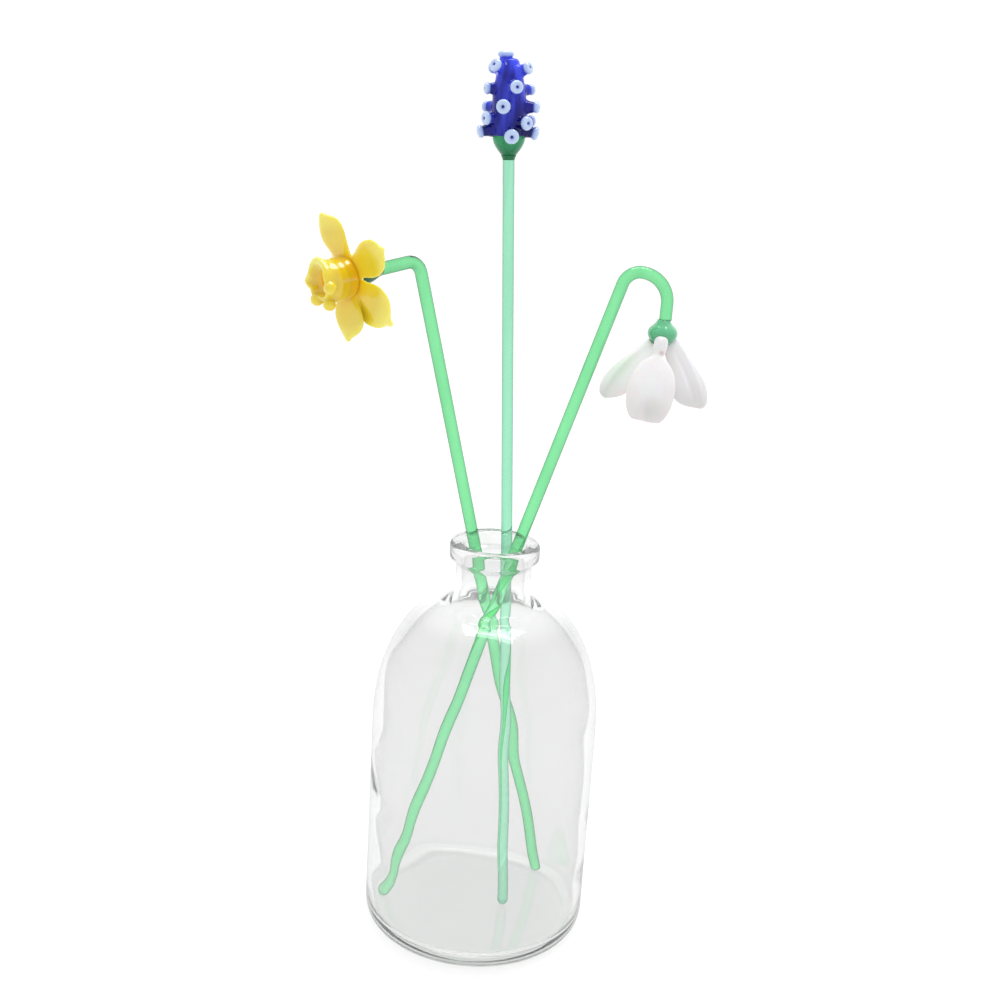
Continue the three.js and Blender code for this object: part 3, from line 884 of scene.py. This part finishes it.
# Florets: height above the cup's foot, turn from the front, upward tilt, added reach and size
FLORETS = [
    (29.0, -43, 20, 0, 0.92), (28.2, 62, 20, 0, 0.85), (28.6, 168, 20, 0, 0.9),
    (28.6, -128, 20, 0, 0.9), (22.7, -78, 2, -0.6, 0.82), (23.1, 18, 2, 0, 0.92),
    (22.4, 118, 2, 0, 0.75), (22.6, -158, 2, 0, 0.9), (17.0, -115, 0, 0, 0.75),
    (17.0, -12, 0, 0, 1.0), (16.9, 82, 0, 0.5, 0.78), (17.0, 158, 0, 0, 0.9),
    (13.3, -60, 0, 0, 0.94), (11.8, 44, 0, -0.1, 0.97), (12.4, 122, 0, 0, 0.85),
    (12.4, -160, 0, 0, 0.9), (9.6, -82, -12, 1.2, 0.88), (9.3, 84, -14, 0.5, 0.95),
    (10.6, 150, -6, 0, 0.9), (10.6, -138, -6, 0, 0.9), (8.2, 7, -12, 0, 1.03),
]


def body_radius(height):
    for (r0, z0), (r1, z1) in zip(BODY, BODY[1:]):
        if height <= z1:
            return r0 + (r1 - r0) * (height - z0) / (z1 - z0)
    return BODY[-1][0]


def floret_place(height, turn, tilt, reach):
    """Where a floret leaves the body, its Z along the floret."""
    spin = Matrix.Rotation(math.radians(turn), 3, "Z")
    lean = Matrix.Rotation(-math.radians(tilt), 3, "X")
    root = spin @ v(0, -1, 0) * (body_radius(height) - 0.4 + reach) + v(0, 0, height)
    return standing(root, spin @ lean @ v(0, -1, 0), UP)


def copied(master, name, matrix):
    pick(master)
    bpy.ops.object.duplicate()
    return place(named(name), matrix)


def make_muscari_body():
    """The body and the stubs of its florets, melted into one skin."""
    core = turned("muscari_core", [
        (0, CUP_HEIGHT), (5.2, CUP_HEIGHT), *BODY, *arc(1.2, 31, 2.1, 1.5, 20, 90, 4), (0, 32.6),
    ], 48)
    neck = turned("muscari_neck", [(0, 28), (2.4, 28), (2.2, 31.6), (2.2, 32.8), (0, 32.8)], 32)
    place(neck, Matrix.Translation(v(-1.2, 0, 0)))
    stub = turned("muscari_stub", [
        (0, -4), (STUB_RADIUS + 0.9, -4), (STUB_RADIUS + 0.6, 0), (STUB_RADIUS + 0.15, 0.9),
        (STUB_RADIUS, 1.8), (STUB_RADIUS, STUB_REACH), (STUB_RADIUS - 0.3, STUB_REACH + 0.5),
        (0, STUB_REACH + 0.5),
    ], 24)
    stubs = [
        copied(stub, f"stub_{i}", floret_place(*spot)) for i, (*spot, _) in enumerate(FLORETS)
    ]
    bpy.data.objects.remove(stub)
    body = melted("muscari_body_glass", [core, neck, *stubs], grain=0.25, softness=7)
    place(body, HEAD)
    finish_piece(body, "muscari_head", cobalt_glass())


def pale_ring():
    """A ring of pale glass with a pinhole, its back at the origin and its face towards +Z. The
    attribute runs from 0 at its back to 1 in its pinhole."""
    face, edge = RING_LENGTH, 1.0
    ring = turned("pale_ring", [
        (0, -0.1), (1.2, -0.1), *arc(RING_RADIUS - edge, face / 2, edge, face / 2, -90, 90, 12),
        (1.1, face - 0.06), (0.75, face - 0.14), (0.5, face - 0.26), (0.32, face - 0.5),
        (0.2, face - 0.8), (0, face - 0.9),
    ], 28)
    along = ring.data.attributes.new("along", "FLOAT", "POINT")
    for vertex, entry in zip(ring.data.vertices, along.data):
        radius, height = math.hypot(vertex.co.x, vertex.co.y) / MM, vertex.co.z / MM
        if radius < 1.2 and height > face - 1:
            entry.value = 1 - 0.4 * radius / 1.2
        else:
            entry.value = 0.6 * height / face
    return ring


def make_rings():
    ring = pale_ring()
    glass = floret_glass()
    for number, (*spot, size) in enumerate(FLORETS, 1):
        at = HEAD @ floret_place(*spot) @ Matrix.Translation(v(0, 0, STUB_REACH))
        at = at @ Matrix.Diagonal((size, size, 1, 1))
        floret = copied(ring, f"muscari_floret_{number:02d}", at)
        finish_piece(floret, "muscari_head", glass)
    cap = copied(ring, "muscari_cap_glass", Matrix.Diagonal((1.1, 1.1, 1.0, 1)))
    place(cap, HEAD @ Matrix.Translation(v(-1.3, 0, 32.6)))
    finish_piece(cap, "muscari_head", glass)
    bpy.data.objects.remove(ring)


def make_muscari_cup():
    cup = turned("muscari_cup_glass", [
        (0, -0.2), (2.02, -0.2), (2.12, 0.2), (2.3, 0.7), (2.55, 1.15), (2.62, 1.3), (2.45, 1.45),
        (2.75, 1.75), (3.7, 2.95), (4.55, 4.2), (5.1, 5.3), (5.4, 6.4), (5.5, 7.5), (5.3, 7.8),
        (0, 7.8),
    ], 48)
    smooth(cup, 50)
    place(cup, HEAD)
    # Painted shade: darker low down, lighter at the top.
    shade = green_glass(
        "cup_green_glass", colour(10, 104, 60), colour(36, 142, 92), MUSCARI_TOP, MUSCARI_AIM,
        1.0, 6.5,
    )
    finish_piece(cup, "muscari_cup", shade)


def make_muscari_stem():
    points = [foot_of(MUSCARI_FOOT, MUSCARI_ROD), MUSCARI_MOUTH, MUSCARI_TOP]
    stem = rod("muscari_rod", MUSCARI_ROD, points)
    finish_piece(stem, "muscari_stem", AQUA_GREEN)


# ---- Snowdrop ----

def make_snowdrop_stem():
    points = [
        foot_of(SNOWDROP_FOOT, SNOWDROP_ROD), SNOWDROP_MOUTH,
        *around(SNOWDROP_MOUTH, HOOK_LEFT, HOOK_RIGHT, HOOK_LEFT_RADIUS),
        *around(HOOK_LEFT, HOOK_RIGHT, HOOK_END, HOOK_RIGHT_RADIUS), HOOK_END,
    ]
    stem = rod("snowdrop_rod", SNOWDROP_ROD, points)
    finish_piece(stem, "snowdrop_stem", SPRING_GREEN)


def make_ovary():
    collar = SNOWDROP_ROD / 2 + 0.15
    ovary = turned("snowdrop_ovary_glass", [
        *arc(0, 0, 5.05, 4.05, -90, 12, 18), (4.7, 1.45), (4.2, 2.05), (3.6, 2.6), (3.05, 3.1),
        (2.6, 3.6), (collar + 0.05, 4.1), (collar, 4.6), (0, 4.7),
    ], 56)
    hangs = (HOOK_RIGHT - HOOK_END).normalized()
    place(ovary, standing(OVARY, hangs, v(0, 1, 0)))
    # Painted shade: darker low down, lighter on top.
    shade = green_glass(
        "ovary_green_glass", colour(38, 154, 100), colour(98, 194, 142), OVARY, UP, -3.0, 4.0,
        gloss=1.0,
    )
    finish_piece(ovary, "snowdrop_ovary", shade)


# A real brown spot on the front petal, and where painted shade darkens its lower fold.
BROWN_SPOT, FOLD_PAINTED_SHADE = v(50.8, -15.3, 223.3), v(48.5, -22.3, 205.7)
# Each petal: its claw, tip and face, its arch, and the ridge and fall of its dish
SNOWDROP_PETALS = {
    "front": (v(50.9, -10.2, 227.8), v(46.4, -22.4, 201.9), v(-0.1, -1, 0.35), 2.2, 0, 2.2),
    "left": (v(47.2, -3.6, 225.2), v(33.2, -3.8, 206), v(-0.75, -0.45, 0.7), 1.4, -2.5, 1.0),
    "right": (v(55.6, -3.6, 225.8), v(66.6, -4.6, 203.4), v(0.85, -0.8, 0.35), 1.4, 0.6, 1.2),
}
# Distance from the claw, the two sides there and the half thickness
SNOWDROP_EDGES = {
    "front": [
        (0.0, -1.3, 1.3, 1.2), (0.9, -2.3, 2.3, 2.1), (3, -2.4, 2.4, 2.2), (5, -2.3, 2.3, 1.8),
        (6.4, -1.7, 1.8, 1.1), (7.4, -1.9, 2.0, 1.0), (8.6, -3.7, 3.8, 0.95),
        (10.2, -5.3, 5.4, 0.95), (12.4, -6.7, 6.6, 1.0), (15, -7.6, 7.6, 1.0),
        (19, -8.0, 8.2, 1.0), (22.6, -7.8, 7.8, 1.0), (25.6, -6.9, 7.0, 0.95),
        (27.6, -5.9, 5.9, 0.9), (28.6, -5.0, 5.0, 0.8), (29.1, -3.9, 3.8, 0.45),
    ],
    "left": [
        (-0.6, -4.6, 0.8, 0.8), (0.6, -6.8, 1.3, 1.0), (3, -8.8, 1.9, 1.0), (6, -9.4, 2.1, 0.95),
        (9, -9.9, 2.7, 0.95), (12, -10.4, 4.3, 1.0), (14.5, -10.8, 5.8, 1.0),
        (17, -10.8, 6.8, 1.0), (19, -9.8, 7.2, 0.95), (21, -7.8, 6.9, 0.9), (22.8, -5.4, 5.5, 0.85),
        (24.0, -3.4, 3.6, 0.7), (24.6, -1.8, 1.6, 0.4),
    ],
    "right": [
        (-0.6, -0.8, 4.2, 0.8), (0.6, -1.7, 6.2, 1.0), (3, -2.1, 7.0, 1.0), (6.5, -2.5, 7.6, 0.95),
        (10, -3.3, 8.5, 0.95), (13.2, -4.6, 9.7, 1.0), (16, -5.9, 10.6, 1.0),
        (18, -6.7, 10.3, 1.0), (20.5, -6.9, 8.3, 0.95), (22.5, -6.5, 5.6, 0.9),
        (24, -5.6, 2.8, 0.85), (25.2, -4.0, 0.9, 0.7), (25.7, -2.6, -0.6, 0.4),
    ],
}
# Creases of each petal: from, to, width and depth
SNOWDROP_CREASES = {
    "front": [((0.6, 22.5), (-1.4, 31.5), 1.2, 0.9), ((-3.5, 12), (-3.8, 25), 1.2, 0.25)],
    "left": [((-2.5, -2), (-1.5, 25), 1.4, -0.7), ((1.0, 2), (3.0, 23), 0.9, 0.3)],
    "right": [((-0.3, -2), (-0.4, 26), 1.3, -0.6), ((3.2, 2), (3.4, 24), 1.0, 0.5)],
}


def snowdrop_petal(name, material):
    claw, tip, face, arch, ridge, fall = SNOWDROP_PETALS[name]
    petal = drawn(f"snowdrop_{name}_petal", SNOWDROP_EDGES[name], arch, sides=20)
    dished(petal, ridge, 8, fall)
    for crease in SNOWDROP_CREASES[name]:
        creased(petal, *crease)
    aim = (tip - claw).normalized()
    side = aim.cross(face).normalized()
    matrix = Matrix((side, aim, side.cross(aim))).transposed().to_4x4()
    matrix.translation = claw
    place(petal, matrix)
    finish_piece(petal, f"snowdrop_petal_{name}", material)


def make_snowdrop_petals():
    # Painted shade on the claw, the real brown spot, and painted shade in the lower fold.
    stains_and_shade = [
        (BROWN_SPOT + v(-1, 0, 5), 7.0, 0.8, colour(208, 210, 211)),
        (BROWN_SPOT, 1.4, 0.6, colour(180, 150, 130)),
        (FOLD_PAINTED_SHADE, 6.0, 0.5, colour(202, 202, 200)),
    ]
    blush = (v(35.8, -6, 218.3), 11, 0.75)
    # The petals' levels differ as painted shade: the right petal is darkest.
    snowdrop_petal("front", white_glass("white_front_glass", 234, stains_and_shade=stains_and_shade))
    snowdrop_petal("left", white_glass("white_left_glass", 237, blush))
    snowdrop_petal("right", white_glass("white_right_glass", 224))


# ---- Making it all ----

# The last green of each rod is painted light, for where it stands inside the bottle.
SPRING_GREEN = rod_glass(
    "spring_green_rod_glass", colour(130, 226, 158), colour(117, 216, 147), colour(158, 255, 190),
)
AQUA_GREEN = rod_glass(
    "aqua_rod_glass", colour(158, 228, 193), colour(144, 217, 181), colour(188, 255, 220),
)

make_bottle()
make_daffodil_stem()
make_calyx()
make_daffodil_petals()
make_trumpet()
make_muscari_stem()
make_muscari_cup()
make_muscari_body()
make_rings()
make_snowdrop_stem()
make_ovary()
make_snowdrop_petals()


# ---- Floor and light ----

FLOOR_WIDTH = 6                       # in metres
FLOOR_GAP = 0.1                       # of air under the bottle, in mm, so the two faces stay apart


def make_floor():
    """A white light table, so bright that it shows hardly any shadow."""
    deselect()
    bpy.ops.mesh.primitive_plane_add(size=FLOOR_WIDTH, location=(0, 0, -FLOOR_GAP * MM))
    floor = named("floor")
    finish = Finish(
        "white_light_table", Roughness=0.9, Emission_Color=(1, 1, 1, 1), Emission_Strength=0.78,
    )
    grain = finish.noise(900.0, detail=2.0)
    finish.set("Base Color", finish.mix(grain, (0.28, 0.28, 0.28, 1), (0.26, 0.26, 0.26, 1)))
    floor.data.materials.append(finish.material)


def soft_light(name, place_mm, wide, deep, power):
    """A soft box above the flowers, this wide and deep in metres, with its power in watts."""
    data = bpy.data.lights.new(name, "AREA")
    data.shape = "RECTANGLE"
    data.size, data.size_y, data.energy = wide, deep, power
    light = bpy.data.objects.new(name, data)
    light.location = place_mm * MM
    aim = (v(0, 0, 200) * MM - light.location).to_track_quat("-Z", "Y")
    light.rotation_euler = aim.to_euler()
    bpy.context.scene.collection.objects.link(light)


ROOM_STRENGTH = 1.02
ROOM_DIM = 0.8                        # brightness high up on the camera's side
GLASS_BOUNCES = 32                    # light runs far inside a glass wall before it comes out


def make_room():
    """White all round the object; only high up, on the camera's side, is the room darker."""
    world = bpy.data.worlds.new("studio")
    world.use_nodes = True
    room = Nodes(world.node_tree)
    way = room.node("ShaderNodeTexCoord", out="Generated")
    height = room.node("ShaderNodeSeparateXYZ", None, {0: way}, out="Z")
    back = room.node("ShaderNodeSeparateXYZ", None, {0: way}, out="Y")
    dim = room.fade(height, 0.38, 0.52) * room.fade(back, 0.1, -0.3)
    tint = room.mix(dim, (1, 1, 1, 1), (ROOM_DIM, ROOM_DIM, ROOM_DIM, 1))
    background = world.node_tree.nodes["Background"]
    world.node_tree.links.new(tint.socket, background.inputs["Color"])
    background.inputs["Strength"].default_value = ROOM_STRENGTH
    bpy.context.scene.world = world


def make_light():
    soft_light("top_light", v(40, 160, 1050), wide=0.75, deep=0.4, power=5.4)
    make_room()
    bpy.context.scene.view_settings.view_transform = "Standard"
    paths = bpy.context.scene.cycles
    paths.max_bounces = paths.glossy_bounces = paths.transmission_bounces = GLASS_BOUNCES


make_floor()
make_light()
